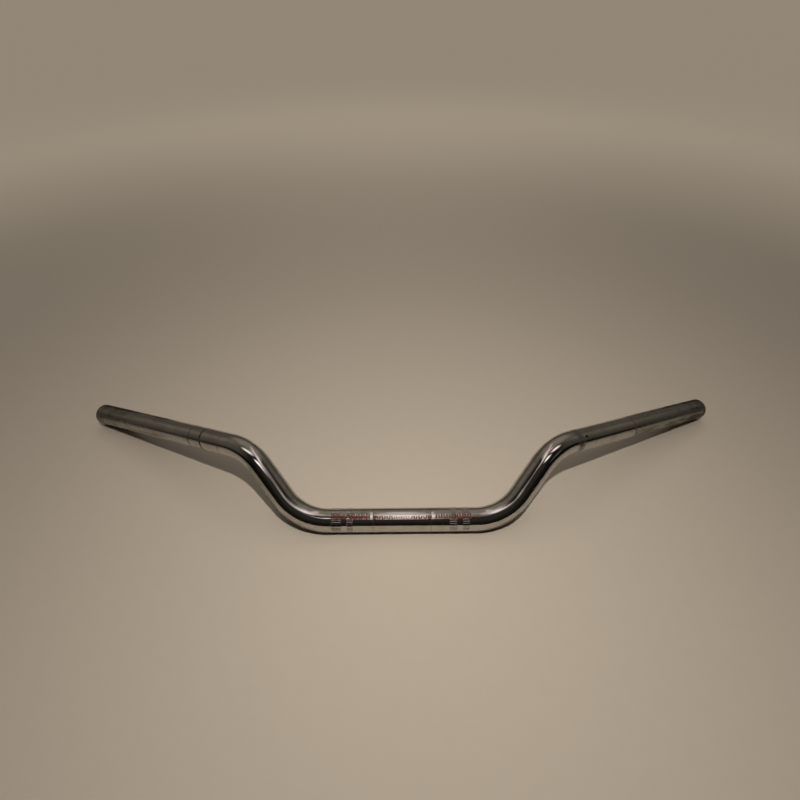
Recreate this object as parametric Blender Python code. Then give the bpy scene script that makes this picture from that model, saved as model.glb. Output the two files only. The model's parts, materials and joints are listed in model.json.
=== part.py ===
"""Motorcycle handlebar: one bent steel tube with an inner weight held in each end.

The bar lies on its centre section and on both tips, as it does when it is set
down on a bench. +X points to the rider's left, -Y to the front of the motorcycle
and +Z up. The origin is under the middle of the bar's box, on the surface.

Each end of the tube holds a steel weight on two rubber cushions. A spring-steel
retainer hooks its tab into a hole in the tube, so the weight stays in the bar.
"""

import bpy
import bmesh
from math import cos, pi, radians, sin, tan
from mathutils import Matrix, Vector

# ---- Driving dimensions of the bent tube, in metres and degrees ----
TUBE_DIAMETER = 0.0222
TUBE_WALL = 0.0023
END_CHAMFER = 0.0006
CENTRE_CORNER_X = 0.0951
ELBOW_CORNER_X = 0.1462
ELBOW_CORNER_REACH = 0.0519
ELBOW_CORNER_HEIGHT = 0.0537
GRIP_SWEEP = radians(26.7)
GRIP_DROOP = radians(10.9)
BEND_RADIUS = 0.0535

# ---- Holes in the tube, by their distance from the tip ----
SWITCH_HOLE_DIAMETER = 0.0032
SWITCH_HOLE_FROM_TIP = 0.1932
SWITCH_HOLE_TILT = radians(32.5)
TAB_HOLE_DIAMETER = 0.0048

# ---- Inner weight, its cushions and its retainer ----
GAP = 0.0003
SOCKET_DEPTH = 0.012
WEIGHT_LENGTH = 0.120
WEIGHT_RADIUS = 0.0072
NECK_RADIUS = 0.0055
THREAD_HOLE_RADIUS = 0.0025
THREAD_HOLE_DEPTH = 0.022
WEIGHT_CHAMFER = 0.0006
RETAINER_NECK = (0.003, 0.0092)
OUTER_CUSHION_NECK = (0.0145, 0.0285)
INNER_CUSHION_NECK = (0.0985, 0.1125)
RIB_DEPTH = 0.0006
RETAINER_THICKNESS = 0.0010
RETAINER_SPLIT = radians(60.0)
TAB_WIDTH = 0.0030
TAB_BELOW_SURFACE = 0.0005

# ---- Fineness of the round shapes ----
TUBE_SIDES = 32
BEND_STEPS = 8
TURNED_STEPS = 24
HOLE_SIDES = 16

# ---- Worked out from the driving dimensions ----
TUBE_RADIUS = TUBE_DIAMETER / 2
BORE_RADIUS = TUBE_RADIUS - TUBE_WALL
TIP_HEIGHT = TUBE_RADIUS * cos(GRIP_DROOP) - END_CHAMFER * sin(GRIP_DROOP)
GRIP_RUN = (ELBOW_CORNER_HEIGHT - TIP_HEIGHT) / tan(GRIP_DROOP)
TIP_REACH = ELBOW_CORNER_REACH + GRIP_RUN * sin(GRIP_SWEEP)
TIP_X = ELBOW_CORNER_X + GRIP_RUN * cos(GRIP_SWEEP)
GRIP_DIRECTION = Vector((
    cos(GRIP_DROOP) * cos(GRIP_SWEEP),
    cos(GRIP_DROOP) * sin(GRIP_SWEEP),
    -sin(GRIP_DROOP),
))
TIP_HALF_DEPTH = TUBE_RADIUS * (1 - GRIP_DIRECTION.y ** 2) ** 0.5 - END_CHAMFER * GRIP_DIRECTION.y
CENTRE_Y = -(TIP_REACH + TIP_HALF_DEPTH - TUBE_RADIUS) / 2


def clear_scene():
    for old in list(bpy.data.objects):
        bpy.data.objects.remove(old, do_unlink=True)


def material(name, colour, roughness, metallic):
    made = bpy.data.materials.new(name)
    made.use_nodes = True
    shader = made.node_tree.nodes["Principled BSDF"]
    shader.inputs["Base Color"].default_value = (*colour, 1.0)
    shader.inputs["Roughness"].default_value = roughness
    shader.inputs["Metallic"].default_value = metallic
    made.diffuse_color = (*colour, 1.0)
    return made


def add_object(name, bm, finish):
    bmesh.ops.recalc_face_normals(bm, faces=bm.faces)
    mesh = bpy.data.meshes.new(name)
    bm.to_mesh(mesh)
    bm.free()
    mesh.materials.append(finish)
    mesh.shade_smooth()
    mesh.set_sharp_from_angle(angle=radians(35.0))
    made = bpy.data.objects.new(name, mesh)
    bpy.context.scene.collection.objects.link(made)
    return made


# ---- The bar's centre line ----

def bend_points(before, corner, after):
    """Points along the arc that rounds one corner of the centre line."""
    back = (before - corner).normalized()
    ahead = (after - corner).normalized()
    turn = pi - back.angle(ahead)
    to_centre = (back + ahead).normalized() * (BEND_RADIUS / cos(turn / 2))
    centre = corner + to_centre
    start = corner + back * (BEND_RADIUS * tan(turn / 2)) - centre
    axis = (-back).cross(ahead).normalized()
    steps = [turn * step / BEND_STEPS for step in range(BEND_STEPS + 1)]
    return [centre + Matrix.Rotation(angle, 3, axis) @ start for angle in steps]


def half_centre_line():
    """Centre line from the middle of the bar to the tip on the rider's left."""
    middle = Vector((0.0, CENTRE_Y, TUBE_RADIUS))
    lower = Vector((CENTRE_CORNER_X, CENTRE_Y, TUBE_RADIUS))
    elbow = Vector((ELBOW_CORNER_X, CENTRE_Y + ELBOW_CORNER_REACH, ELBOW_CORNER_HEIGHT))
    tip = Vector((TIP_X, CENTRE_Y + TIP_REACH, TIP_HEIGHT))
    chamfer_start = tip - GRIP_DIRECTION * END_CHAMFER
    bends = bend_points(middle, lower, elbow) + bend_points(lower, elbow, tip)
    return bends + [chamfer_start, tip]


def centre_line():
    left = half_centre_line()
    right = [Vector((-point.x, point.y, point.z)) for point in reversed(left)]
    return right + left


def directions_along(points):
    """Unit direction of the centre line at each of its points."""
    found = []
    for index, point in enumerate(points):
        before = points[max(index - 1, 0)]
        after = points[min(index + 1, len(points) - 1)]
        into = (point - before).normalized() if index else Vector()
        out = (after - point).normalized() if index < len(points) - 1 else Vector()
        found.append((into + out).normalized())
    return found


def ring_of(bm, point, direction, radius):
    """A circle of vertices around the centre line, with one at its very top."""
    up = (Vector((0.0, 0.0, 1.0)) - direction * direction.z).normalized()
    side = direction.cross(up)
    angles = [2 * pi * step / TUBE_SIDES for step in range(TUBE_SIDES)]
    return [bm.verts.new(point + radius * (up * cos(a) + side * sin(a))) for a in angles]


def join_rings(bm, first, second):
    count = len(first)
    for index in range(count):
        following = (index + 1) % count
        bm.faces.new((first[index], first[following], second[following], second[index]))


def skin(bm, points, directions, radii):
    rings = [ring_of(bm, *station) for station in zip(points, directions, radii)]
    for first, second in zip(rings, rings[1:]):
        join_rings(bm, first, second)
    return rings


def place_on_grip(side, from_tip):
    """Point and outward direction of the grip's axis, side +1 for the rider's left."""
    direction = Vector((side * GRIP_DIRECTION.x, GRIP_DIRECTION.y, GRIP_DIRECTION.z))
    tip = Vector((side * TIP_X, CENTRE_Y + TIP_REACH, TIP_HEIGHT))
    return tip - direction * from_tip, direction


def hole_cutter(name, point, along, radius):
    """A guide cylinder from the tube's axis out through one wall."""
    bm = bmesh.new()
    bmesh.ops.create_cone(
        bm, cap_ends=True, segments=HOLE_SIDES,
        radius1=radius, radius2=radius, depth=TUBE_DIAMETER,
    )
    bmesh.ops.translate(bm, verts=bm.verts, vec=(0.0, 0.0, TUBE_DIAMETER / 2))
    mesh = bpy.data.meshes.new(name)
    bm.to_mesh(mesh)
    bm.free()
    cutter = bpy.data.objects.new(name, mesh)
    bpy.context.scene.collection.objects.link(cutter)
    cutter.location = point
    cutter.rotation_euler = along.to_track_quat("Z", "Y").to_euler()
    cutter.hide_render = True
    cutter.display_type = "WIRE"
    return cutter


def cut_hole(target, cutter):
    boolean = target.modifiers.new(cutter.name, "BOOLEAN")
    boolean.operation = "DIFFERENCE"
    boolean.solver = "EXACT"
    boolean.object = cutter


def make_bar_tube(finish):
    points = centre_line()
    directions = directions_along(points)
    outer_radii = [TUBE_RADIUS] * len(points)
    outer_radii[0] = outer_radii[-1] = TUBE_RADIUS - END_CHAMFER
    bm = bmesh.new()
    outer = skin(bm, points, directions, outer_radii)
    inner = skin(bm, points, directions, [BORE_RADIUS] * len(points))
    join_rings(bm, outer[0], inner[0])
    join_rings(bm, outer[-1], inner[-1])
    tube = add_object("bar_tube", bm, finish)

    point, direction = place_on_grip(1, SWITCH_HOLE_FROM_TIP)
    up = (Vector((0.0, 0.0, 1.0)) - direction * direction.z).normalized()
    forward = up.cross(direction).normalized()
    along = up * cos(SWITCH_HOLE_TILT) - forward * sin(SWITCH_HOLE_TILT)
    switch_cutter = hole_cutter("switch_hole", point, along, SWITCH_HOLE_DIAMETER / 2)
    cut_hole(tube, switch_cutter)
    for side, side_name in ((1, "left"), (-1, "right")):
        tab_centre = SOCKET_DEPTH + sum(RETAINER_NECK) / 2
        point, direction = place_on_grip(side, tab_centre)
        down = (direction * direction.z - Vector((0.0, 0.0, 1.0))).normalized()
        name = side_name + "_tab_hole"
        cut_hole(tube, hole_cutter(name, point, down, TAB_HOLE_DIAMETER / 2))
    return tube


# ---- Turned and ring-shaped pieces, made along +Z and then set into the tube ----

def turned(profile, steps=TURNED_STEPS, sweep=2 * pi):
    """Turn a closed outline of (distance from the outer face, radius) points."""
    bm = bmesh.new()
    verts = [bm.verts.new((radius, 0.0, -depth)) for depth, radius in profile]
    edges = [bm.edges.new(pair) for pair in zip(verts, verts[1:] + verts[:1])]
    full = sweep >= 2 * pi
    bmesh.ops.spin(
        bm, geom=verts + edges, cent=(0.0, 0.0, 0.0), axis=(0.0, 0.0, 1.0),
        angle=sweep, steps=steps, use_merge=full,
    )
    bmesh.ops.remove_doubles(bm, verts=bm.verts, dist=1e-6)
    return bm


def weight_profile():
    """Outline of the weight: chamfered ends, three necks and the threaded hole."""
    radius = WEIGHT_RADIUS
    small = radius - WEIGHT_CHAMFER
    outline = [(0.0, THREAD_HOLE_RADIUS), (0.0, small), (WEIGHT_CHAMFER, radius)]
    for start, end in (RETAINER_NECK, OUTER_CUSHION_NECK, INNER_CUSHION_NECK):
        outline += [(start, radius), (start, NECK_RADIUS), (end, NECK_RADIUS), (end, radius)]
    outline += [(WEIGHT_LENGTH - WEIGHT_CHAMFER, radius), (WEIGHT_LENGTH, small)]
    outline += [(WEIGHT_LENGTH, 0.0), (THREAD_HOLE_DEPTH + THREAD_HOLE_RADIUS, 0.0)]
    outline += [(THREAD_HOLE_DEPTH, THREAD_HOLE_RADIUS)]
    return outline


def cushion_profile(neck):
    """A rubber ring with two raised ribs that grip the bore of the tube."""
    start = neck[0] + GAP
    end = neck[1] - GAP
    inside = NECK_RADIUS + GAP
    rib = BORE_RADIUS - GAP
    waist = rib - RIB_DEPTH
    quarter = (end - start) / 4
    edge = RIB_DEPTH
    return [
        (start, inside),
        (start, waist),
        (start + edge, rib),
        (start + quarter, rib),
        (start + quarter + edge, waist),
        (end - quarter - edge, waist),
        (end - quarter, rib),
        (end - edge, rib),
        (end, waist),
        (end, inside),
    ]


def retainer_mesh():
    """A split ring around the weight's first neck, with one tab bent outwards."""
    start = RETAINER_NECK[0] + GAP
    end = RETAINER_NECK[1] - GAP
    inside = NECK_RADIUS + GAP
    outside = inside + RETAINER_THICKNESS
    middle = (start + end) / 2
    tab_edges = (middle - TAB_WIDTH / 2, middle + TAB_WIDTH / 2)
    outline = [(start, inside), (start, outside)]
    outline += [(depth, outside) for depth in tab_edges]
    outline += [(end, outside), (end, inside)]
    steps = TURNED_STEPS - 3
    sweep = 2 * pi - RETAINER_SPLIT
    bm = turned(outline, steps, sweep)
    bmesh.ops.rotate(
        bm, verts=bm.verts, cent=(0.0, 0.0, 0.0),
        matrix=Matrix.Rotation(-sweep / 2, 3, "Z"),
    )
    bmesh.ops.holes_fill(bm, edges=[edge for edge in bm.edges if edge.is_boundary])
    bmesh.ops.recalc_face_normals(bm, faces=bm.faces)

    def is_tab_root(face):
        centre = face.calc_center_median()
        faces_out = face.normal.x > 0.9 and abs(centre.y) < RETAINER_THICKNESS / 4
        return faces_out and abs(centre.z + middle) < TAB_WIDTH / 4

    root = [face for face in bm.faces if is_tab_root(face)]
    grown = bmesh.ops.extrude_discrete_faces(bm, faces=root)["faces"]
    tab_top = TUBE_RADIUS - TAB_BELOW_SURFACE
    for vert in grown[0].verts:
        vert.co.x = tab_top
    return bm


def set_into_bar(made, side):
    """Turn a piece made along +Z so that its outer face sits at the socket's floor."""
    point, direction = place_on_grip(side, SOCKET_DEPTH)
    down = (direction * direction.z - Vector((0.0, 0.0, 1.0))).normalized()
    across = direction.cross(down)
    frame = Matrix((down, across, direction)).transposed().to_4x4()
    frame.translation = point
    made.matrix_world = frame
    return made


def make_end_fittings(side, side_name, steel, spring_steel, rubber):
    pieces = (
        ("inner_weight", turned(weight_profile()), steel),
        ("outer_cushion", turned(cushion_profile(OUTER_CUSHION_NECK)), rubber),
        ("inner_cushion", turned(cushion_profile(INNER_CUSHION_NECK)), rubber),
        ("weight_retainer", retainer_mesh(), spring_steel),
    )
    for piece_name, bm, finish in pieces:
        set_into_bar(add_object(f"{side_name}_{piece_name}", bm, finish), side)


def main():
    clear_scene()
    chrome = material("chrome_plate", (0.62, 0.61, 0.59), 0.12, 1.0)
    steel = material("weight_steel", (0.36, 0.34, 0.31), 0.42, 1.0)
    spring_steel = material("spring_steel", (0.45, 0.42, 0.34), 0.35, 1.0)
    rubber = material("cushion_rubber", (0.03, 0.03, 0.03), 0.75, 0.0)
    make_bar_tube(chrome)
    for side, side_name in ((1, "left"), (-1, "right")):
        make_end_fittings(side, side_name, steel, spring_steel, rubber)


main()
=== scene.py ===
"""Looks of the motorcycle handlebar: worn chrome tube, knurled clamp bands and red setting marks.

The tube is built again as one fine mesh on the CAD tube's centre line. The pieces
inside its ends keep their CAD meshes and get their own finishes.
"""
import json
import random
from math import cos, pi, radians, sin, tan

import bmesh
import bpy
import numpy as np
from mathutils import Matrix, Vector
from mathutils.kdtree import KDTree


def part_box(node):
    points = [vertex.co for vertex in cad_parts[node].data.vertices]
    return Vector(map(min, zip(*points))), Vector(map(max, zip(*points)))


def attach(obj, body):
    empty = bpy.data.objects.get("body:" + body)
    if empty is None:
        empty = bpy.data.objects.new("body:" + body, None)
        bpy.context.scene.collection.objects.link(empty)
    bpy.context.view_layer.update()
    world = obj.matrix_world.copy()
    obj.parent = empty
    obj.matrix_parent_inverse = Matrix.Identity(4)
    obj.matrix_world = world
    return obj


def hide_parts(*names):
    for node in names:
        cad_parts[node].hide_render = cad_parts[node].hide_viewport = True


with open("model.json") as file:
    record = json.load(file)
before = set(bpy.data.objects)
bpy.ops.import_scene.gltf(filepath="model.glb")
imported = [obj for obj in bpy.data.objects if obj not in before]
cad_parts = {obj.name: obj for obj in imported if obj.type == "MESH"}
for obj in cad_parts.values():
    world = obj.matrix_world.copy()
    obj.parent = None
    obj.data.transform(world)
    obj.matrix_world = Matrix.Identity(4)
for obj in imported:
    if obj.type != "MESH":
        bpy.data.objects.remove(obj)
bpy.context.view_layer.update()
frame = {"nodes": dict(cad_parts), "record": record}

# ---- The bar's driving dimensions, as the CAD has them, in metres ----
TUBE_RADIUS = 0.0111
BORE_RADIUS = 0.0088
END_CHAMFER = 0.0006
CENTRE_CORNER_X = 0.0951
ELBOW_CORNER_X = 0.1462
ELBOW_CORNER_REACH = 0.0519
ELBOW_CORNER_HEIGHT = 0.0537
GRIP_SWEEP = radians(26.7)
GRIP_DROOP = radians(10.9)
BEND_RADIUS = 0.0535
SWITCH_HOLE = {"radius": 0.0016, "from_tip": 0.1932, "tilt": radians(32.5)}
TAB_HOLE = {"radius": 0.0024, "from_tip": 0.0181}

CENTRE_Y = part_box("bar_tube")[0].y + TUBE_RADIUS
TIP_HEIGHT = TUBE_RADIUS * cos(GRIP_DROOP) - END_CHAMFER * sin(GRIP_DROOP)
GRIP_RUN = (ELBOW_CORNER_HEIGHT - TIP_HEIGHT) / tan(GRIP_DROOP)
TIP_X = ELBOW_CORNER_X + GRIP_RUN * cos(GRIP_SWEEP)
TIP_Y = CENTRE_Y + ELBOW_CORNER_REACH + GRIP_RUN * sin(GRIP_SWEEP)
UP = Vector((0.0, 0.0, 1.0))

# ---- Fineness of the tube's mesh ----
GROOVES = 36
SIDES_PER_GROOVE = 6
SIDES = GROOVES * SIDES_PER_GROOVE
BEND_STEP = 0.0016
STRAIGHT_STEP = 0.008
BORE_SIDES = SIDES // 2
BORE_BEND_STEP = 0.004
BORE_STRAIGHT_STEP = 0.05
NEAREST_RINGS = 0.0002
HOLE_RING_STEP = 0.0007
HOLE_RINGS = 5
HOLE_SIDES = 40
SHARP_DEGREES = 14.0
PATH_SAMPLES = 2400

# ---- The mouth of the bore ----
BORE_FLARE = 0.0003
BORE_FLARE_LENGTH = 0.0004

# ---- Marks of use, by distance along the centre line from the bar's middle ----
# Knurled bands on the rider's left (1) and right (-1): start and end.
KNURL_BANDS = {
    1: ((0.0435, 0.0500), (0.0556, 0.0620)),
    -1: ((0.0449, 0.0510), (0.0560, 0.0650)),
}
KNURL_DEPTH = 0.00022
KNURL_RUN_OUT = 0.0004
CLAMP_EDGES = (0.0266, 0.0500)
CLAMP_DENT_DEPTH = 0.00005
CLAMP_DENT_WIDTH = 0.0004

# ---- Red print: small squares in groups of leaning ticks ----
PRINT_SEED = 7
PRINT_CELL = 0.00042
PRINT_DEGREES = 2.2
PRINT_SUNK = -0.00004
PRINT_PROUD = 0.00003
# First and last tick, their spacing, middle and height in degrees around the
# tube, width in squares and the share of squares worn away.
PRINT_GROUPS = (
    (-0.0645, -0.0292, 0.0023, 19.0, 29.0, 3, 0.05),
    (-0.0246, -0.0090, 0.0022, 25.0, 18.0, 3, 0.08),
    (-0.0070, 0.0070, 0.0022, 25.0, 15.0, 2, 0.30),
    (0.0090, 0.0275, 0.0022, 25.0, 17.0, 3, 0.10),
    (0.0315, 0.0635, 0.0024, 19.0, 29.0, 3, 0.08),
    (0.0655, 0.0715, 0.0008, 20.0, 22.0, 1, 0.45),
)


# ======================================================================
# Centre line
# ======================================================================

def corner_bend(before, corner, after):
    """The arc that rounds a corner: its centre, start radius, axis and angle."""
    back = (before - corner).normalized()
    ahead = (after - corner).normalized()
    turn = pi - back.angle(ahead)
    centre = corner + (back + ahead).normalized() * (BEND_RADIUS / cos(turn / 2))
    start = corner + back * (BEND_RADIUS * tan(turn / 2))
    axis = (-back).cross(ahead).normalized()
    return {"centre": centre, "radius": start - centre, "axis": axis, "turn": turn}


def half_path():
    """Straight and bent stretches from the bar's middle to the tip at +X."""
    middle = Vector((0.0, CENTRE_Y, TUBE_RADIUS))
    lower = Vector((CENTRE_CORNER_X, CENTRE_Y, TUBE_RADIUS))
    elbow = Vector((ELBOW_CORNER_X, CENTRE_Y + ELBOW_CORNER_REACH, ELBOW_CORNER_HEIGHT))
    tip = Vector((TIP_X, TIP_Y, TIP_HEIGHT))
    stretches = []
    here = middle
    for bend in (corner_bend(middle, lower, elbow), corner_bend(lower, elbow, tip)):
        start = bend["centre"] + bend["radius"]
        end = bend["centre"] + Matrix.Rotation(bend["turn"], 3, bend["axis"]) @ bend["radius"]
        stretches.append({"from": here, "to": start, "length": (start - here).length})
        stretches.append({**bend, "length": bend["turn"] * BEND_RADIUS})
        here = end
    stretches.append({"from": here, "to": tip, "length": (tip - here).length})
    return stretches


HALF = half_path()
HALF_LENGTH = sum(stretch["length"] for stretch in HALF)


def on_path(distance):
    """Point and direction of the centre line at a distance from the middle."""
    mirrored = distance < 0
    left = min(abs(distance), HALF_LENGTH)
    for stretch in HALF:
        if left <= stretch["length"] or stretch is HALF[-1]:
            break
        left -= stretch["length"]
    if "turn" in stretch:
        spin = Matrix.Rotation(left / BEND_RADIUS, 3, stretch["axis"])
        radius = spin @ stretch["radius"]
        point = stretch["centre"] + radius
        direction = stretch["axis"].cross(radius).normalized()
    else:
        direction = (stretch["to"] - stretch["from"]).normalized()
        point = stretch["from"] + direction * left
    if mirrored:
        point = Vector((-point.x, point.y, point.z))
        direction = Vector((direction.x, -direction.y, -direction.z))
    return point, direction


def up_and_side(direction):
    """The tube's own up, and its side away from the camera."""
    up = (UP - direction * direction.z).normalized()
    return up, up.cross(direction)


def stations(step_straight, step_bend, extra=()):
    """Distances from the middle to one tip where the tube gets a ring."""
    marks = {0.0, HALF_LENGTH - END_CHAMFER, HALF_LENGTH}
    start = 0.0
    for stretch in HALF:
        step = step_bend if "turn" in stretch else step_straight
        count = max(1, round(stretch["length"] / step))
        marks.update(start + stretch["length"] * k / count for k in range(count))
        start += stretch["length"]
    for mark in extra:
        marks = {m for m in marks if abs(m - mark) > NEAREST_RINGS or m == HALF_LENGTH}
        marks.add(mark)
    half = sorted(marks)
    return [-m for m in reversed(half) if m > 0] + half


# ======================================================================
# Meshes
# ======================================================================

def new_object(name, data):
    made = bpy.data.objects.new(name, data)
    bpy.context.scene.collection.objects.link(made)
    return made


def object_from(bm, name):
    """Turn a finished bmesh into an object in the scene."""
    mesh = bpy.data.meshes.new(name)
    bm.to_mesh(mesh)
    bm.free()
    return new_object(name, mesh)


def smooth(mesh, degrees):
    mesh.shade_smooth()
    mesh.set_sharp_from_angle(angle=radians(degrees))


def knurl_depth(distance, side_index):
    """Depth of the straight knurling: one V groove in each set of mesh sides."""
    in_groove = side_index % SIDES_PER_GROOVE == SIDES_PER_GROOVE // 2
    for start, end in KNURL_BANDS[1 if distance > 0 else -1]:
        inside = min(abs(distance) - start, end - abs(distance))
        if inside >= -1e-9:
            share = min(1.0, max(0.0, inside / KNURL_RUN_OUT))
            return KNURL_DEPTH * share * (1.0 if in_groove else 0.0)
    return 0.0


def clamp_dent(distance):
    """A faint step pressed into the plating at each edge of a clamp."""
    nearest = min(abs(abs(distance) - edge) for edge in CLAMP_EDGES)
    return CLAMP_DENT_DEPTH * max(0.0, 1.0 - nearest / CLAMP_DENT_WIDTH)


def tube_marks():
    """Extra ring positions for the knurling, the clamp edges and the holes."""
    marks = []
    for start, end in KNURL_BANDS[1] + KNURL_BANDS[-1]:
        marks += [start, start + KNURL_RUN_OUT, end - KNURL_RUN_OUT, end]
    for edge in CLAMP_EDGES:
        marks += [edge - CLAMP_DENT_WIDTH, edge, edge + CLAMP_DENT_WIDTH]
    for hole in (SWITCH_HOLE, TAB_HOLE):
        middle = HALF_LENGTH - hole["from_tip"]
        marks += [middle + HOLE_RING_STEP * k for k in range(-HOLE_RINGS, HOLE_RINGS + 1)]
    return marks


def outer_rings(bm):
    """The tube's outside, with its knurling, clamp dents and chamfered ends."""
    rings = []
    for distance in stations(STRAIGHT_STEP, BEND_STEP, tube_marks()):
        point, direction = on_path(distance)
        up, side = up_and_side(direction)
        at_tip = HALF_LENGTH - abs(distance) < END_CHAMFER / 2
        base = TUBE_RADIUS - (END_CHAMFER if at_tip else 0.0) - clamp_dent(distance)
        ring = []
        for index in range(SIDES):
            angle = 2 * pi * index / SIDES
            radius = base - knurl_depth(distance, index)
            ring.append(bm.verts.new(point + radius * (up * cos(angle) + side * sin(angle))))
        rings.append(ring)
    return rings


def bore_rings(bm):
    """The tube's inside, flared a little at each mouth."""
    rings = []
    edge = HALF_LENGTH - BORE_FLARE_LENGTH
    for distance in stations(BORE_STRAIGHT_STEP, BORE_BEND_STEP, (edge,)):
        point, direction = on_path(distance)
        up, side = up_and_side(direction)
        flare = BORE_FLARE if HALF_LENGTH - abs(distance) < 1e-6 else 0.0
        ring = []
        for index in range(BORE_SIDES):
            angle = 2 * pi * index / BORE_SIDES
            offset = (BORE_RADIUS + flare) * (up * cos(angle) + side * sin(angle))
            ring.append(bm.verts.new(point + offset))
        rings.append(ring)
    return rings


def bridge(bm, first, second):
    """Quads between two equal rings."""
    count = len(first)
    for index in range(count):
        following = (index + 1) % count
        bm.faces.new((first[index], first[following], second[following], second[index]))


def bridge_to_half(bm, fine, coarse):
    """The tube's end face: two sides of the fine ring meet one side of the coarse ring."""
    count = len(coarse)
    for index in range(count):
        following = (index + 1) % count
        a, b, c = fine[2 * index], fine[2 * index + 1], fine[2 * following]
        bm.faces.new((a, b, coarse[index]))
        bm.faces.new((b, c, coarse[following], coarse[index]))


def cutter(name, point, along, radius):
    """A cylinder from near the tube's axis out through one wall."""
    bm = bmesh.new()
    bmesh.ops.create_cone(
        bm, cap_ends=True, segments=HOLE_SIDES,
        radius1=radius, radius2=radius, depth=2 * TUBE_RADIUS,
    )
    bmesh.ops.translate(bm, verts=bm.verts, vec=(0.0, 0.0, TUBE_RADIUS * 1.2))
    made = object_from(bm, name)
    made.location = point
    made.rotation_euler = along.to_track_quat("Z", "Y").to_euler()
    return made


def hole_cutters():
    """The switch-housing hole on the rider's left, and a tab hole under each tip."""
    made = []
    distance = HALF_LENGTH - SWITCH_HOLE["from_tip"]
    point, direction = on_path(distance)
    up, side = up_and_side(direction)
    tilt = SWITCH_HOLE["tilt"]
    along = up * cos(tilt) - side * sin(tilt)
    made.append(cutter("cut_0", point, along, SWITCH_HOLE["radius"]))
    for index, way in enumerate((1, -1), start=1):
        distance = way * (HALF_LENGTH - TAB_HOLE["from_tip"])
        point, direction = on_path(distance)
        up, side = up_and_side(direction)
        made.append(cutter(f"cut_{index}", point, -up, TAB_HOLE["radius"]))
    return made


def apply_cuts(target, cutters):
    """Cut the holes, then keep only the finished mesh."""
    for tool in cutters:
        boolean = target.modifiers.new(tool.name, "BOOLEAN")
        boolean.operation = "DIFFERENCE"
        boolean.solver = "EXACT"
        boolean.object = tool
    graph = bpy.context.evaluated_depsgraph_get()
    finished = bpy.data.meshes.new_from_object(target.evaluated_get(graph))
    target.modifiers.clear()
    target.data = finished
    for tool in cutters:
        bpy.data.objects.remove(tool, do_unlink=True)


def store_straightened(mesh):
    """Keep on each vertex where it would be if the tube were straight along X."""
    samples = np.linspace(-HALF_LENGTH, HALF_LENGTH, PATH_SAMPLES)
    places = [on_path(s) for s in samples]
    tree = KDTree(len(places))
    for index, (point, _) in enumerate(places):
        tree.insert(point, index)
    tree.balance()
    values = np.zeros((len(mesh.vertices), 3), np.float32)
    for vertex in mesh.vertices:
        _, index, _ = tree.find(vertex.co)
        point, direction = places[index]
        up, side = up_and_side(direction)
        offset = vertex.co - point
        values[vertex.index] = (
            samples[index] + offset.dot(direction), offset.dot(side), offset.dot(up),
        )
    stored = mesh.attributes.new("straightened", "FLOAT_VECTOR", "POINT")
    stored.data.foreach_set("vector", values.ravel())


def make_tube():
    bm = bmesh.new()
    outer = outer_rings(bm)
    bore = bore_rings(bm)
    for rings in (outer, bore):
        for first, second in zip(rings, rings[1:]):
            bridge(bm, first, second)
    bridge_to_half(bm, outer[0], bore[0])
    bridge_to_half(bm, outer[-1], bore[-1])
    bmesh.ops.recalc_face_normals(bm, faces=bm.faces)
    tube = object_from(bm, "tube")
    apply_cuts(tube, hole_cutters())
    store_straightened(tube.data)
    smooth(tube.data, SHARP_DEGREES)
    return tube


def on_tube(distance, degrees, lift=0.0):
    """A point on the tube's surface, degrees from its top towards the camera."""
    point, direction = on_path(distance)
    up, side = up_and_side(direction)
    angle = radians(degrees)
    return point + (TUBE_RADIUS + lift) * (up * cos(angle) - side * sin(angle))


def print_cells():
    """Small squares of worn red print: plain setting ticks, a scale without figures."""
    draw = random.Random(PRINT_SEED)
    cells = []
    for first, last, pitch, centre, height, width, wear in PRINT_GROUPS:
        count = round((last - first) / pitch) + 1
        for tick in range(count):
            middle = first + tick * pitch
            tall = height * draw.uniform(0.7, 1.05)
            lean = draw.uniform(0.0002, 0.0011) * (1 if tick % 2 else -1)
            rows = max(1, round(tall / PRINT_DEGREES))
            for row in range(rows):
                for column in range(width):
                    if draw.random() < wear:
                        continue
                    share = (row + 0.5) / rows - 0.5
                    cells.append((
                        middle + (column - (width - 1) / 2) * PRINT_CELL + lean * share,
                        centre + share * rows * PRINT_DEGREES,
                    ))
    return cells


def make_print():
    bm = bmesh.new()
    for middle, degrees in print_cells():
        half, turn = PRINT_CELL / 2, PRINT_DEGREES / 2
        rings = []
        for lift in (PRINT_SUNK, PRINT_PROUD):
            rings.append([
                bm.verts.new(on_tube(middle + a * half, degrees + b * turn, lift))
                for a, b in ((-1, -1), (1, -1), (1, 1), (-1, 1))
            ])
        bm.faces.new(rings[1])
        bm.faces.new(list(reversed(rings[0])))
        bridge(bm, rings[0], rings[1])
    bmesh.ops.recalc_face_normals(bm, faces=bm.faces)
    return object_from(bm, "print")


# ======================================================================
# Materials
# ======================================================================

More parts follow.
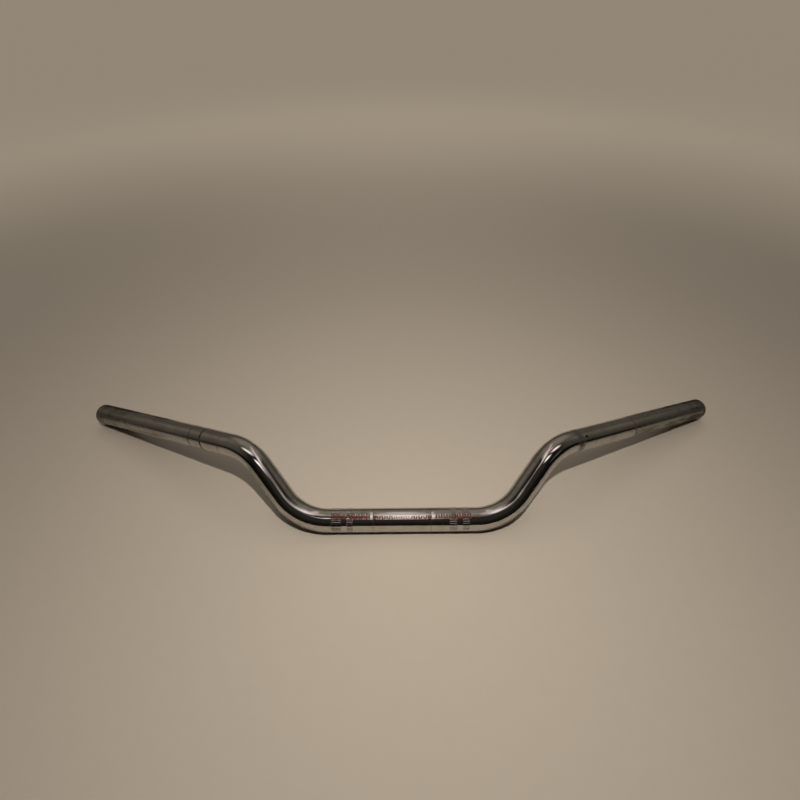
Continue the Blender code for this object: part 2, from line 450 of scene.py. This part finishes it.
class Nodes:
    """Short calls for building a procedural material."""

    def __init__(self, name):
        self.material = bpy.data.materials.new(name)
        self.material.use_nodes = True
        self.tree = self.material.node_tree
        self.shader = self.tree.nodes["Principled BSDF"]

    def set(self, socket, value):
        """Give an input a constant, or link another node's output to it."""
        if isinstance(value, bpy.types.NodeSocket):
            self.tree.links.new(value, socket)
        else:
            socket.default_value = value

    def math(self, operation, *values, clamp=False):
        node = self.tree.nodes.new("ShaderNodeMath")
        node.operation = operation
        node.use_clamp = clamp
        for socket, value in zip(node.inputs, values):
            self.set(socket, value)
        return node.outputs[0]

    def ramp(self, value, low, high, to_low=0.0, to_high=1.0):
        """Smooth step from one value to another."""
        node = self.tree.nodes.new("ShaderNodeMapRange")
        node.interpolation_type = "SMOOTHSTEP"
        for socket, given in zip(node.inputs, (value, low, high, to_low, to_high)):
            self.set(socket, given)
        return node.outputs[0]

    def mix(self, share, first, second):
        node = self.tree.nodes.new("ShaderNodeMix")
        node.data_type = "RGBA"
        self.set(node.inputs[0], share)
        self.set(node.inputs[6], first)
        self.set(node.inputs[7], second)
        return node.outputs[2]

    def straightened(self):
        node = self.tree.nodes.new("ShaderNodeAttribute")
        node.attribute_name = "straightened"
        return node.outputs["Vector"]

    def object_place(self):
        return self.tree.nodes.new("ShaderNodeTexCoord").outputs["Object"]

    def split(self, vector):
        node = self.tree.nodes.new("ShaderNodeSeparateXYZ")
        self.set(node.inputs[0], vector)
        return node.outputs

    def scaled(self, vector, scale):
        node = self.tree.nodes.new("ShaderNodeVectorMath")
        node.operation = "MULTIPLY"
        self.set(node.inputs[0], vector)
        node.inputs[1].default_value = scale
        return node.outputs[0]

    def noise(self, vector, scale=1.0, detail=2.0, rough=0.5):
        node = self.tree.nodes.new("ShaderNodeTexNoise")
        self.set(node.inputs["Vector"], vector)
        node.inputs["Scale"].default_value = scale
        node.inputs["Detail"].default_value = detail
        node.inputs["Roughness"].default_value = rough
        return node.outputs[0]

    def cells(self, vector, scale):
        node = self.tree.nodes.new("ShaderNodeTexVoronoi")
        self.set(node.inputs["Vector"], vector)
        node.inputs["Scale"].default_value = scale
        return node.outputs["Distance"]

    def bump(self, height, distance, strength=1.0, normal=None):
        node = self.tree.nodes.new("ShaderNodeBump")
        node.inputs["Strength"].default_value = strength
        node.inputs["Distance"].default_value = distance
        self.set(node.inputs["Height"], height)
        if normal is not None:
            self.set(node.inputs["Normal"], normal)
        return node.outputs[0]

    def band(self, value, centre, half_width, soft):
        """1 within half_width of the centre, falling to 0 over the soft edge."""
        away = self.math("ABSOLUTE", self.math("SUBTRACT", value, centre))
        return self.ramp(away, half_width, half_width + soft, 1.0, 0.0)

    def between(self, value, low, high, soft):
        return self.math(
            "MULTIPLY",
            self.ramp(value, low - soft, low + soft),
            self.ramp(value, high - soft, high + soft, 1.0, 0.0),
        )

    def add(self, *values):
        total = values[0]
        for value in values[1:]:
            total = self.math("ADD", total, value)
        return total

    def times(self, *values):
        total = values[0]
        for value in values[1:]:
            total = self.math("MULTIPLY", total, value)
        return total

    def largest(self, *values):
        total = values[0]
        for value in values[1:]:
            total = self.math("MAXIMUM", total, value)
        return total

    def length(self, first, second):
        """Distance from zero of a point given by two coordinates."""
        squares = [self.math("POWER", value, 2.0) for value in (first, second)]
        return self.math("SQRT", self.add(*squares))

    def finish(self, **sockets):
        for name, value in sockets.items():
            self.set(self.shader.inputs[name.replace("_", " ")], value)
        return self.material


CHROME = (0.55, 0.535, 0.51, 1.0)
DULL_CHROME = (0.42, 0.41, 0.38, 1.0)
GREENISH = (0.37, 0.40, 0.33, 1.0)
PURPLISH = (0.46, 0.385, 0.42, 1.0)
# Grime colour, also used to paint shade on the underside and the tips and a dark reflection on
# the grips.
GRIME_AND_SHADE = (0.030, 0.025, 0.020, 1.0)
RESIDUE = (0.20, 0.19, 0.12, 1.0)
RUST = (0.13, 0.050, 0.022, 1.0)

# Dark rings left by grips and switch housings: place, half width, strength and lean.
RINGS = (
    (-0.2450, 0.0006, 0.60, 0.10), (-0.2283, 0.0007, 0.85, 0.12), (-0.2045, 0.0004, 0.45, 0.0),
    (0.1998, 0.0024, 0.68, 0.04), (0.1972, 0.0006, 0.50, 0.0), (0.2800, 0.0009, 0.50, 0.20),
)


def chrome_material():
    n = Nodes("worn_chrome")
    place = n.straightened()
    along, side, up = n.split(place)
    far = n.math("ABSOLUTE", along)
    radius = n.length(side, up)
    # Degrees around the tube, from its top towards the camera.
    degrees = n.math("MULTIPLY", n.math("ARCTAN2", n.math("MULTIPLY", side, -1.0), up), 180 / pi)

    broad = n.noise(place, 28.0, 3.0)
    blotch = n.noise(place, 75.0, 4.0, 0.6)
    fine = n.noise(place, 420.0, 4.0, 0.6)
    hairlines = n.noise(n.scaled(place, (60.0, 2600.0, 2600.0)), 1.0, 3.0, 0.6)
    rings = n.noise(n.scaled(place, (2600.0, 70.0, 70.0)), 1.0, 3.0, 0.6)
    streaks = n.noise(n.scaled(place, (9.0, 260.0, 260.0)), 1.0, 3.0, 0.55)

    grip = n.ramp(far, 0.268, 0.290)
    housing = n.times(n.ramp(far, 0.200, 0.212), n.ramp(broad, 0.30, 0.62))
    worn = n.largest(grip, n.times(housing, 0.6))
    clamp = n.between(far, CLAMP_EDGES[0], CLAMP_EDGES[1], 0.0004)

    lines = []
    for where, width, strength, lean in RINGS:
        wander = n.math("MULTIPLY", n.math("SUBTRACT", blotch, 0.5), 0.0022)
        shifted = n.add(along, wander, n.math("MULTIPLY", up, lean))
        lines.append(n.times(n.band(shifted, where, width, width * 1.5), strength))
    for edge in CLAMP_EDGES:
        for way in (-1, 1):
            lines.append(n.times(n.band(along, way * edge, 0.00020, 0.0004), 0.30))
    ring_dirt = n.times(n.largest(*lines), n.ramp(fine, 0.22, 0.55, 0.55, 1.0))

    # The brown stain that runs down to a point below the smudge ring.
    stain_width = n.ramp(degrees, 48.0, 88.0, 0.0034, 0.0001)
    stain_away = n.math("ABSOLUTE", n.math("SUBTRACT", along, 0.1992))
    stain = n.times(
        n.ramp(n.math("SUBTRACT", stain_away, stain_width), 0.0, 0.0009, 1.0, 0.0),
        n.between(degrees, 50.0, 88.0, 2.0),
    )
    knurled = n.largest(*[
        n.between(along, *sorted((way * start, way * end)), 0.0003)
        for way, bands in KNURL_BANDS.items() for start, end in bands
    ])
    knurl_dirt = n.times(knurled, n.ramp(
        radius, TUBE_RADIUS - KNURL_DEPTH, TUBE_RADIUS - KNURL_DEPTH * 0.5, 0.35, 0.0,
    ))
    speckle = n.ramp(n.cells(place, 340.0), 0.10, 0.22, 1.0, 0.0)
    specks = n.times(speckle, n.ramp(broad, 0.50, 0.66), n.ramp(far, 0.10, 0.40, 0.15, 0.8))
    film = n.times(worn, n.ramp(blotch, 0.42, 0.72))
    grooved = n.times(grip, n.ramp(streaks, 0.46, 0.60), 0.26)
    # Darker film near both tips: grime, and painted shade where the tips mirror their own shadow
    # on the floor; weaker on the far side.
    front = n.math("ABSOLUTE", n.math("SUBTRACT", degrees, 35.0))
    end_grime_and_shade = n.times(
        n.ramp(far, 0.315, 0.390),
        n.ramp(front, 90.0, 130.0, 1.0, 0.4),
        n.ramp(blotch, 0.2, 0.6, 0.25, 0.45),
    )
    # Grip grime on the top towards the far side, darker there as a painted reflection of the
    # darker floor behind the grips.
    top_grime_and_reflection = n.times(
        grip,
        n.ramp(degrees, -20.0, -6.0, 1.0, 0.0),
        n.ramp(degrees, -100.0, -55.0, 0.25, 1.0),
        n.ramp(blotch, 0.2, 0.6, 0.45, 0.65),
    )
    marks = n.largest(ring_dirt, n.times(specks, 0.8), n.times(stain, 0.75), knurl_dirt)
    films_and_shade = n.add(n.times(film, 0.22), top_grime_and_reflection, grooved, end_grime_and_shade)
    dirt_and_shade = n.math("ADD", marks, films_and_shade, clamp=True)

    # Painted shade along the underside, where the tube mirrors its shadow on the floor, and a
    # darker, rougher strip of painted shade low on the rider's right rise.
    shade_start_degrees = n.ramp(far, 0.05, 0.105, 107.0, 82.0)
    underneath = n.math("SUBTRACT", n.math("ABSOLUTE", degrees), shade_start_degrees)
    underside_shade = n.times(n.ramp(underneath, 0.0, 11.0), n.ramp(far, 0.105, 0.150, 0.80, 0.0))
    # Painted shade: a darker strip low on the rider's right rise, which also gets extra
    # roughness.
    shaded_dull_strip = n.times(
        n.between(along, -0.163, -0.117, 0.008),
        n.between(degrees, 66.0, 122.0, 9.0),
        n.ramp(blotch, 0.25, 0.60, 0.45, 1.0),
    )
    # The dirt mask takes in both strips of painted shade here.
    dirt_and_shade = n.math("ADD", dirt_and_shade, n.add(underside_shade, n.times(shaded_dull_strip, 0.38)), clamp=True)

    # Dried greenish residue along the underside of the rider's left grip.
    residue = n.times(
        n.ramp(along, 0.276, 0.286),
        n.between(degrees, 74.0, 128.0, 5.0),
        n.ramp(n.noise(n.scaled(place, (70.0, 150.0, 150.0)), 1.0, 4.0, 0.65), 0.36, 0.56),
    )
    ragged = n.add(far, n.math("MULTIPLY", blotch, 0.004))
    edge_rust = n.times(
        n.ramp(ragged, HALF_LENGTH - 0.0024, HALF_LENGTH + 0.0010),
        n.ramp(n.noise(place, 240.0, 4.0), 0.34, 0.56),
        n.ramp(along, -0.1, 0.1, 0.55, 1.0),
    )
    bare = n.ramp(radius, BORE_RADIUS + 0.0006, BORE_RADIUS + 0.0012, 1.0, 0.0)
    rust = n.largest(edge_rust, n.times(bare, n.ramp(fine, 0.3, 0.6, 0.35, 0.9)))

    plated = n.mix(n.times(worn, 0.8), CHROME, DULL_CHROME)
    green = n.times(n.ramp(blotch, 0.50, 0.66), 0.60)
    purple = n.times(n.ramp(blotch, 0.48, 0.34), 0.60)
    tinted = n.mix(purple, n.mix(green, plated, GREENISH), PURPLISH)
    coated = n.mix(n.times(residue, 0.80), tinted, RESIDUE)
    # The grime colour paints real dirt and the painted shade and reflection in one mask.
    dirty_and_shaded = n.mix(dirt_and_shade, coated, GRIME_AND_SHADE)
    stained = n.mix(n.times(stain, 0.55), dirty_and_shaded, RUST)
    colour = n.mix(rust, stained, RUST)

    polish = n.add(0.040, n.times(n.ramp(broad, 0.4, 0.7), 0.03))
    dull = n.add(
        n.times(worn, n.ramp(fine, 0.3, 0.7, 0.09, 0.17)),
        n.times(clamp, 0.04),
        n.times(shaded_dull_strip, 0.16),
    )
    roughness = n.math(
        "ADD", n.add(polish, dull),
        n.add(n.times(dirt_and_shade, 0.35), n.times(rust, 0.6), n.times(residue, 0.30)), clamp=True,
    )
    metallic = n.math(
        "SUBTRACT", 1.0, n.add(n.times(dirt_and_shade, 0.25), n.times(rust, 0.75), n.times(residue, 0.35)),
        clamp=True,
    )

    wear = n.add(n.times(hairlines, 0.6), n.times(rings, worn, 0.8))
    relief = n.add(wear, n.times(fine, 0.5), n.times(dirt_and_shade, 0.8))
    normal = n.bump(relief, 0.00002, 0.35)
    return n.finish(Base_Color=colour, Roughness=roughness, Metallic=metallic, Normal=normal)


def print_material():
    n = Nodes("red_print")
    fade = n.noise(n.object_place(), 900.0, 3.0)
    tone = n.mix(fade, (0.085, 0.016, 0.012, 1.0), (0.20, 0.048, 0.034, 1.0))
    return n.finish(Base_Color=tone, Roughness=0.45, Metallic=0.0)


def plain_metal(name, colour, dark, roughness):
    """Turned or rolled steel with an oily, slightly uneven film."""
    n = Nodes(name)
    place = n.object_place()
    stain = n.ramp(n.noise(place, 160.0, 4.0), 0.35, 0.68)
    grain = n.noise(n.scaled(place, (1500.0, 1500.0, 1500.0)), 1.0, 3.0)
    tone = n.mix(stain, colour, dark)
    rough = n.add(roughness, n.times(stain, 0.18))
    relief = n.bump(grain, 0.00003, 0.4)
    return n.finish(Base_Color=tone, Roughness=rough, Metallic=1.0, Normal=relief)


def rubber_material():
    n = Nodes("cushion_rubber")
    place = n.object_place()
    bloom = n.ramp(n.noise(place, 240.0, 4.0), 0.4, 0.7)
    tone = n.mix(bloom, (0.018, 0.018, 0.018, 1.0), (0.045, 0.043, 0.040, 1.0))
    rough = n.add(0.62, n.times(bloom, 0.2))
    pores = n.bump(n.noise(place, 2600.0, 2.0), 0.00004, 0.5)
    return n.finish(Base_Color=tone, Roughness=rough, Metallic=0.0, Normal=pores)


# ======================================================================
# Stage, light and camera
# ======================================================================

FLOOR_HALF = 40.0
OTHER_RAYS = ("diffuse", "shadow", "transmission", "volume_scatter")


def flat_sheet(name, half_size, stretch=(1.0, 1.0)):
    """A level square, stretched along X and Y."""
    bm = bmesh.new()
    bmesh.ops.create_grid(bm, x_segments=1, y_segments=1, size=half_size)
    bmesh.ops.scale(bm, verts=bm.verts, vec=(*stretch, 1.0))
    return object_from(bm, name)


def hide_from(sheet, kinds):
    for kind in kinds:
        setattr(sheet, f"visible_{kind}", False)


def make_floor():
    floor = flat_sheet("floor", FLOOR_HALF)
    n = Nodes("floor_paper")
    grain = n.noise(n.object_place(), 90.0, 3.0)
    tone = n.mix(grain, (0.590, 0.545, 0.485, 1.0), (0.615, 0.570, 0.510, 1.0))
    paper = n.finish(Base_Color=tone, Roughness=0.85, Specular_IOR_Level=0.15)
    floor.data.materials.append(paper)


def direction_of(azimuth, zenith):
    """Unit vector to the sky: azimuth 0 is +Y and 90 is +X, in degrees."""
    a, z = radians(azimuth), radians(zenith)
    return (sin(z) * sin(a), sin(z) * cos(a), cos(z))


class Sky:
    """A soft studio room that the chrome reflects, built from directions."""

    def __init__(self):
        self.world = bpy.data.worlds.new("studio")
        bpy.context.scene.world = self.world
        self.world.use_nodes = True
        self.tree = self.world.node_tree
        self.tree.nodes.clear()
        self.ray = self.tree.nodes.new("ShaderNodeTexCoord").outputs["Generated"]
        self.path = self.tree.nodes.new("ShaderNodeLightPath").outputs

    def vector(self, operation, first, second):
        node = self.tree.nodes.new("ShaderNodeVectorMath")
        node.operation = operation
        for socket, value in zip(node.inputs, (first, second)):
            if isinstance(value, bpy.types.NodeSocket):
                self.tree.links.new(value, socket)
            else:
                socket.default_value = value
        return node.outputs

    def step(self, value, low, high, to_low, to_high):
        node = self.tree.nodes.new("ShaderNodeMapRange")
        node.interpolation_type = "SMOOTHSTEP"
        node.inputs[1].default_value = low
        node.inputs[2].default_value = high
        node.inputs[3].default_value = to_low
        node.inputs[4].default_value = to_high
        self.tree.links.new(value, node.inputs[0])
        return node.outputs[0]

    def patch(self, azimuth, zenith, inner, outer):
        """A round patch: 1 inside the inner angle, 0 outside the outer one."""
        dot = self.vector("DOT_PRODUCT", self.ray, direction_of(azimuth, zenith))["Value"]
        return self.step(dot, cos(radians(outer)), cos(radians(inner)), 0.0, 1.0)

    def tinted(self, amount, colour):
        node = self.tree.nodes.new("ShaderNodeMix")
        node.data_type = "RGBA"
        node.inputs[6].default_value = (0.0, 0.0, 0.0, 1.0)
        node.inputs[7].default_value = (*colour, 1.0)
        self.tree.links.new(amount, node.inputs[0])
        return node.outputs[2]

    def total(self, layers):
        found = layers[0]
        for layer in layers[1:]:
            found = self.vector("ADD", found, layer)["Vector"]
        return found

    def background(self, colour):
        node = self.tree.nodes.new("ShaderNodeBackground")
        if isinstance(colour, bpy.types.NodeSocket):
            self.tree.links.new(colour, node.inputs[0])
        else:
            node.inputs[0].default_value = (*colour, 1.0)
        return node.outputs[0]

    def choose(self, share, first, second):
        node = self.tree.nodes.new("ShaderNodeMixShader")
        self.tree.links.new(share, node.inputs[0])
        self.tree.links.new(first, node.inputs[1])
        self.tree.links.new(second, node.inputs[2])
        return node.outputs[0]

    def finish(self, room, ambient, backdrop):
        """Reflections see the room, the camera a plain backdrop, the rest soft light."""
        soft = self.background(ambient)
        seen = self.choose(self.path["Is Glossy Ray"], soft, self.background(room))
        shown = self.choose(self.path["Is Camera Ray"], seen, self.background(backdrop))
        output = self.tree.nodes.new("ShaderNodeOutputWorld")
        self.tree.links.new(shown, output.inputs[0])


WARM = (1.0, 0.865, 0.69)
WHITE = (1.0, 0.90, 0.87)


def scaled(colour, strength):
    return tuple(strength * part for part in colour)


def make_sky():
    sky = Sky()
    room = sky.total([
        sky.tinted(sky.patch(0, 70, 50, 84), scaled(WARM, 0.105)),
        sky.tinted(sky.patch(0, 36, 8, 40), scaled(WARM, 0.18)),
        sky.tinted(sky.patch(275, 60, 5, 40), scaled(WARM, 0.11)),
        sky.tinted(sky.patch(85, 60, 5, 34), scaled(WARM, 0.08)),
        sky.tinted(sky.patch(123, 64, 2, 8), scaled(WHITE, 0.12)),
        sky.tinted(sky.patch(180, 34, 4, 40), scaled(WARM, 0.024)),
        sky.tinted(sky.patch(180, 60, 20, 75), scaled(WARM, 0.012)),
    ])
    ambient = sky.total([sky.tinted(sky.patch(0, 40, 10, 75), (0.10, 0.091, 0.078))])
    sky.finish(room, ambient, (0.30, 0.25, 0.19))


def add_light(name, place, size, energy, spread, aim):
    """A lamp that lights the floor and casts the shadows, and that the chrome does not mirror."""
    data = bpy.data.lights.new(name, "AREA")
    data.shape = "DISK"
    data.size = size
    data.energy = energy
    data.color = (1.0, 0.89, 0.76)
    data.spread = radians(spread)
    lamp = new_object(name, data)
    lamp.location = place
    lamp.rotation_euler = (lamp.location - Vector(aim)).to_track_quat("Z", "Y").to_euler()
    lamp.visible_camera = False
    lamp.visible_glossy = False


def add_see_through(n, colour, strength):
    """Replace the material's shader: what is behind it shows through, plus a glow of its own."""
    glow = n.tree.nodes.new("ShaderNodeEmission")
    glow.inputs["Color"].default_value = (*colour, 1.0)
    n.set(glow.inputs["Strength"], strength)
    clear = n.tree.nodes.new("ShaderNodeBsdfTransparent")
    both = n.tree.nodes.new("ShaderNodeAddShader")
    n.set(both.inputs[0], glow.outputs[0])
    n.set(both.inputs[1], clear.outputs[0])
    n.tree.nodes.remove(n.shader)
    n.set(n.tree.nodes["Material Output"].inputs["Surface"], both.outputs[0])


def add_glow(name, place, size, radiance):
    """A soft-edged, see-through studio panel that only the chrome's reflections see."""
    panel = flat_sheet(name, 0.5, size)
    panel.location = place
    hide_from(panel, ("camera", *OTHER_RAYS))
    n = Nodes(name)
    x, y, _ = n.split(n.tree.nodes.new("ShaderNodeTexCoord").outputs["Generated"])
    away = n.length(n.math("SUBTRACT", x, 0.5), n.math("SUBTRACT", y, 0.5))
    add_see_through(n, WHITE, n.ramp(away, 0.12, 0.5, radiance, 0.0))
    panel.data.materials.append(n.material)


def make_distant_floor_glow():
    """A see-through sheet, seen only by the camera, whose painted light keeps the distant floor
    pale where the lamps' light falls off.

    A soft darker ring still shows where the lamps' light ends and its glow begins.
    """
    sheet = flat_sheet("distant_floor_glow", FLOOR_HALF)
    sheet.location = (0.0, 0.0, 0.0004)
    hide_from(sheet, ("glossy", *OTHER_RAYS))
    n = Nodes("distant_floor_glow")
    x, y, _ = n.split(n.object_place())
    away = n.length(n.math("MULTIPLY", x, 1.15), y)
    # Painted light: the glow grows away from the middle of the floor.
    add_see_through(n, (0.26, 0.217, 0.163), n.ramp(away, 0.35, 1.9))
    sheet.data.materials.append(n.material)


def make_reflected_dark_zone():
    """A black sheet on the floor in front that only the chrome's reflections see, so the floor
    there mirrors dark.
    """
    edge = flat_sheet("reflected_dark_zone", 1.5)
    edge.location = (0.0, -1.83, 0.0005)
    hide_from(edge, ("camera", *OTHER_RAYS))
    n = Nodes("reflected_dark_zone")
    black = n.finish(Base_Color=(0.010, 0.008, 0.007, 1.0), Roughness=0.9)
    edge.data.materials.append(black)


# Lamps: name, place, size, energy, spread in degrees and aim.
LAMPS = (
    ("key", (0.091, -0.4126, 1.115), 0.05, 1.02, 70, (0.0, -0.09, 0.0)),
    ("ceiling", (0.0, -0.05, 1.1), 1.5, 0.80, 74, (0.0, -0.05, 0.0)),
    ("far_fill", (0.0, 1.0, 1.2), 0.8, 1.6, 120, (0.0, 0.95, 0.0)),
)

# Reflected panels: place, size and radiance. The first four are overhead and the
# rest are low, for the highlights on the bends. All were adjusted.
PANELS = (
    ((0.0, 0.12, 1.00), (0.62, 0.60), 0.50),
    ((0.0, 0.55, 1.01), (0.20, 0.90), 0.45),
    ((0.01, -0.17, 1.02), (0.26, 0.66), 1.2),
    ((0.15, -0.18, 1.03), (0.30, 0.50), 0.25),
    ((0.0, -0.265, 0.42), (0.24, 0.22), 0.7),
    ((-0.26, -0.045, 0.40), (0.26, 0.14), 1.5),
    ((0.28, -0.060, 0.40), (0.22, 0.14), 1.5),
    ((-0.18, -0.200, 0.41), (0.18, 0.12), 2.5),
    ((0.23, -0.195, 0.41), (0.16, 0.14), 2.3),
)


def make_lamps():
    for lamp in LAMPS:
        add_light(*lamp)
    for index, (place, size, radiance) in enumerate(PANELS):
        add_glow(f"panel_{index}", place, size, radiance)


# The camera was fitted to the bar's outline at a pitch that the outline doesn't fix.
LENS_MM = 22.247
SENSOR_MM = 36.0
CAMERA_PITCH = radians(40.60)
CAMERA_ROLL = radians(-0.52)
CAMERA_X = -0.0009
CAMERA_IN_FRONT = 0.2780
CAMERA_HEIGHT = 0.3968


def make_camera():
    data = bpy.data.cameras.new("camera")
    data.lens = LENS_MM
    data.sensor_width = SENSOR_MM
    data.clip_start = 0.01
    camera = new_object("camera", data)
    tilt = Matrix.Rotation(pi / 2 - CAMERA_PITCH, 4, "X")
    turn = tilt @ Matrix.Rotation(CAMERA_ROLL, 4, "Z")
    place = Matrix.Translation((CAMERA_X, CENTRE_Y - CAMERA_IN_FRONT, CAMERA_HEIGHT))
    camera.matrix_world = place @ turn
    bpy.context.scene.camera = camera


# ======================================================================
# Assembly
# ======================================================================

def main():
    tube = make_tube()
    tube.name = "handlebar_tube"
    tube.data.materials.clear()
    tube.data.materials.append(chrome_material())
    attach(tube, "root")
    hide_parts("bar_tube")

    marks = make_print()
    marks.name = "setting_marks"
    marks.data.materials.append(print_material())
    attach(marks, "root")

    finishes = {
        "weight_steel": plain_metal(
            "turned_steel", (0.40, 0.37, 0.33, 1), (0.22, 0.19, 0.15, 1), 0.34,
        ),
        "spring_steel": plain_metal(
            "spring_steel", (0.50, 0.44, 0.28, 1), (0.34, 0.30, 0.24, 1), 0.28,
        ),
        "cushion_rubber": rubber_material(),
    }
    for part in frame["record"]["subparts"]:
        if part["material_slot"] in finishes:
            node = frame["nodes"][part["node"]]
            node.data.materials.clear()
            node.data.materials.append(finishes[part["material_slot"]])

    make_floor()
    make_distant_floor_glow()
    make_reflected_dark_zone()
    make_sky()
    make_lamps()
    make_camera()
    settings = bpy.context.scene.view_settings
    settings.view_transform = "Standard"


main()
